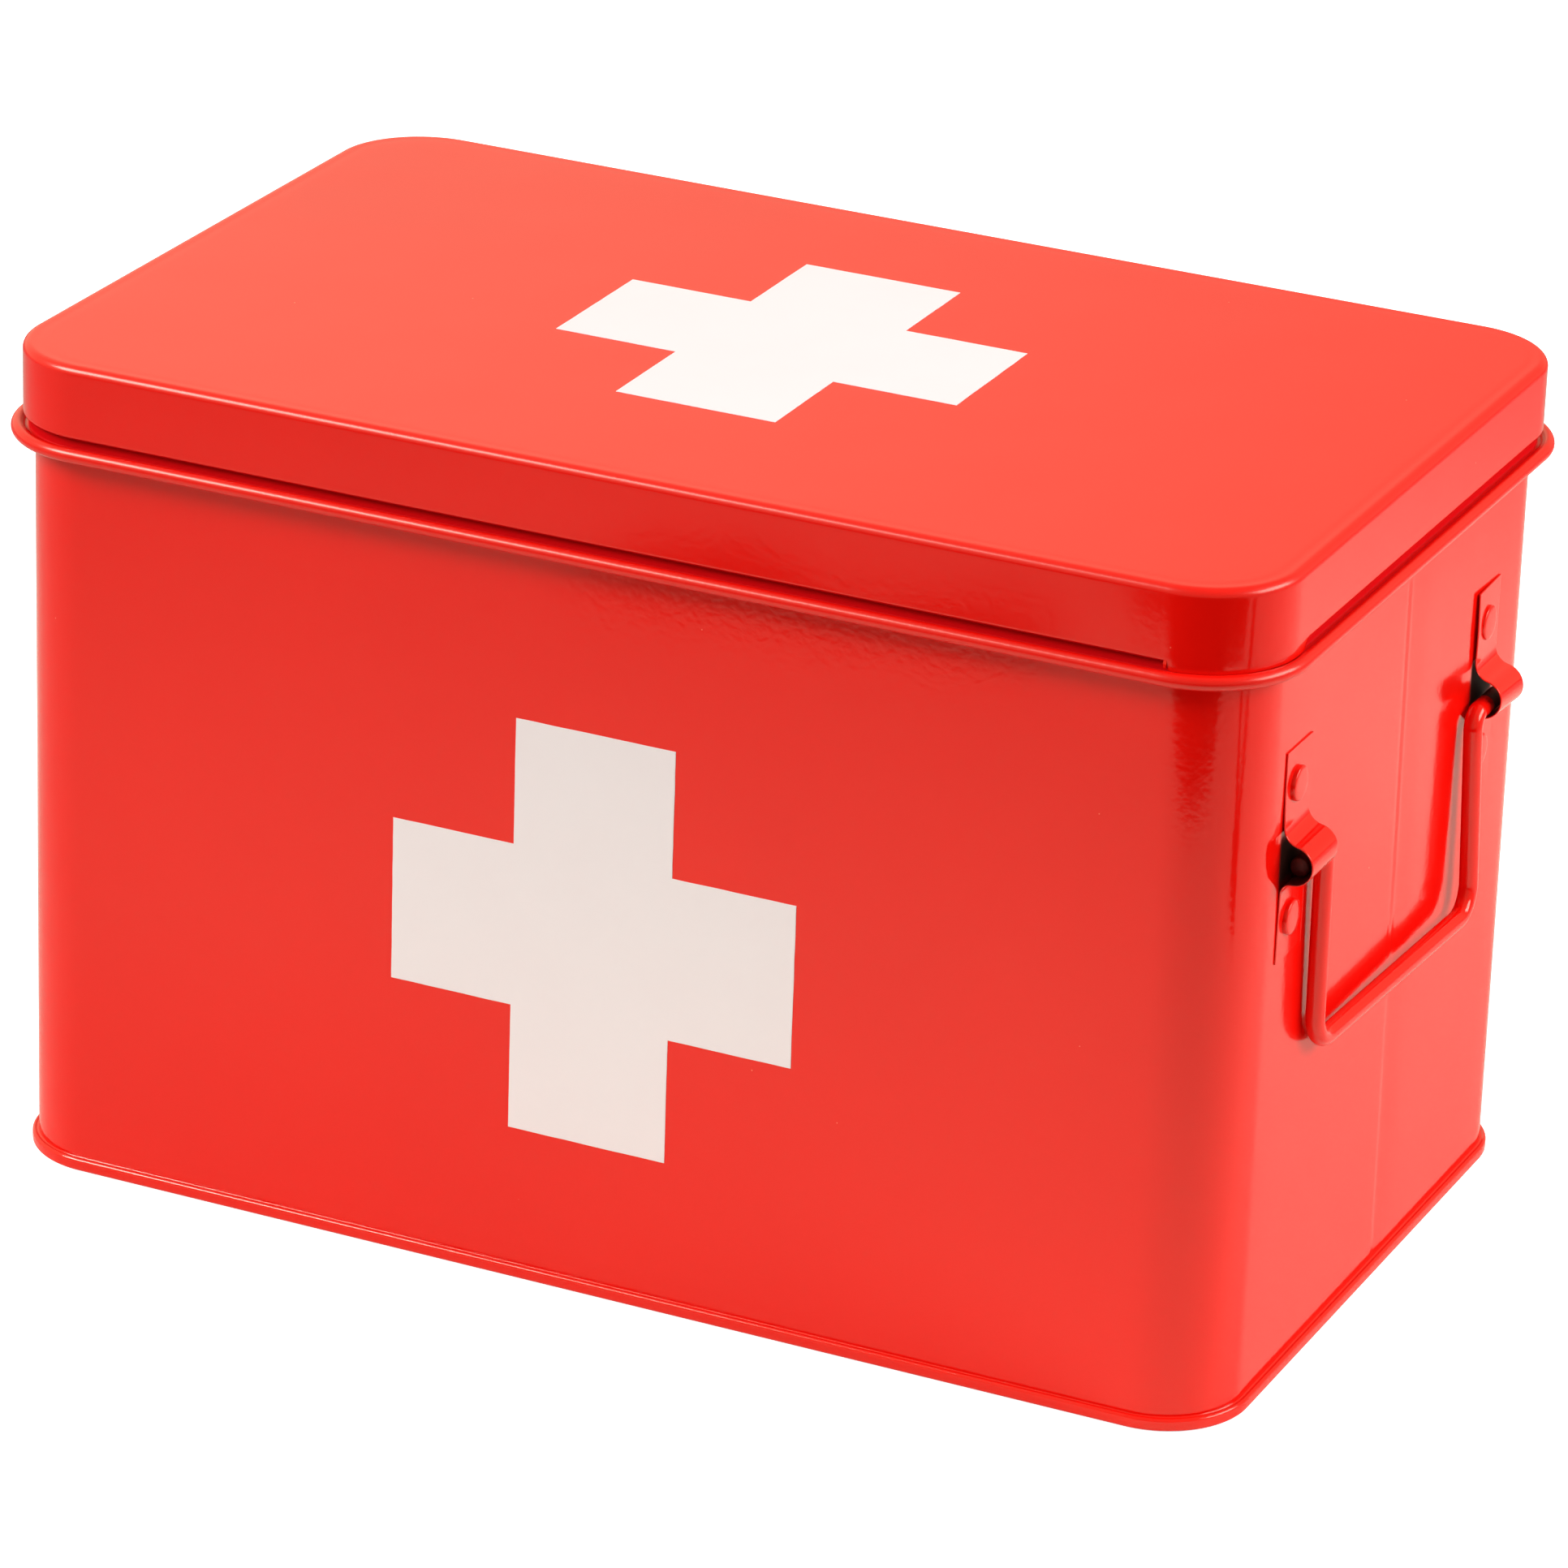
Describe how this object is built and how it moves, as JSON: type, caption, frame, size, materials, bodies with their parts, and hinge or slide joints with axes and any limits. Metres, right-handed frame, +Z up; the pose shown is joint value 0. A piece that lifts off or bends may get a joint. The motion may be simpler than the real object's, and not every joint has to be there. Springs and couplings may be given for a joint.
{
  "type": "metal storage box with lift-off lid",
  "caption": "Red tinplate box with rounded corners, lift-off lid, beaded neck, rolled foot ring, white crosses and riveted drop handles.",
  "frame": {"origin": "centre of the foot ring, on the surface that the box stands on", "axes": "+X towards the right short side, -Y towards the front with the cross, +Z up"},
  "size_m": [0.325, 0.199, 0.2031],
  "materials": {
    "body_coat": "gloss red powder coat",
    "lid_coat": "gloss red powder coat",
    "strap_coat": "gloss red powder coat",
    "rivet_coat": "gloss red powder coat over the set rivets",
    "handle_coat": "gloss red powder coat on steel rod",
    "white_print": "satin white printed film"
  },
  "bodies": {
    "box": {"body_wall": "body_coat", "base_panel": "body_coat", "front_cross": "white_print", "right_front_strap": "strap_coat", "right_rear_strap": "strap_coat", "left_front_strap": "strap_coat", "left_rear_strap": "strap_coat", "right_front_upper_rivet": "rivet_coat", "right_front_lower_rivet": "rivet_coat", "right_rear_upper_rivet": "rivet_coat", "right_rear_lower_rivet": "rivet_coat", "left_front_upper_rivet": "rivet_coat", "left_front_lower_rivet": "rivet_coat", "left_rear_upper_rivet": "rivet_coat", "left_rear_lower_rivet": "rivet_coat"},
    "lid": {"lid": "lid_coat", "lid_cross": "white_print"},
    "right_handle": {"right_handle": "handle_coat"},
    "left_handle": {"left_handle": "handle_coat"}
  },
  "joints": [
    {"name": "lid_lift", "type": "slide", "parent": "box", "child": "lid", "axis": [0, 0, 1], "range_m": [0, 0.08]},
    {"name": "right_handle_swing", "type": "hinge", "parent": "box", "child": "right_handle", "pos_m": [0.1581, -0.0047, 0.1293], "axis": [0, -0.9997, 0.0254], "range_deg": [0, 170]},
    {"name": "left_handle_swing", "type": "hinge", "parent": "box", "child": "left_handle", "pos_m": [-0.1581, 0.0047, 0.1293], "axis": [0, 0.9997, 0.0254], "range_deg": [0, 170]}
  ]
}
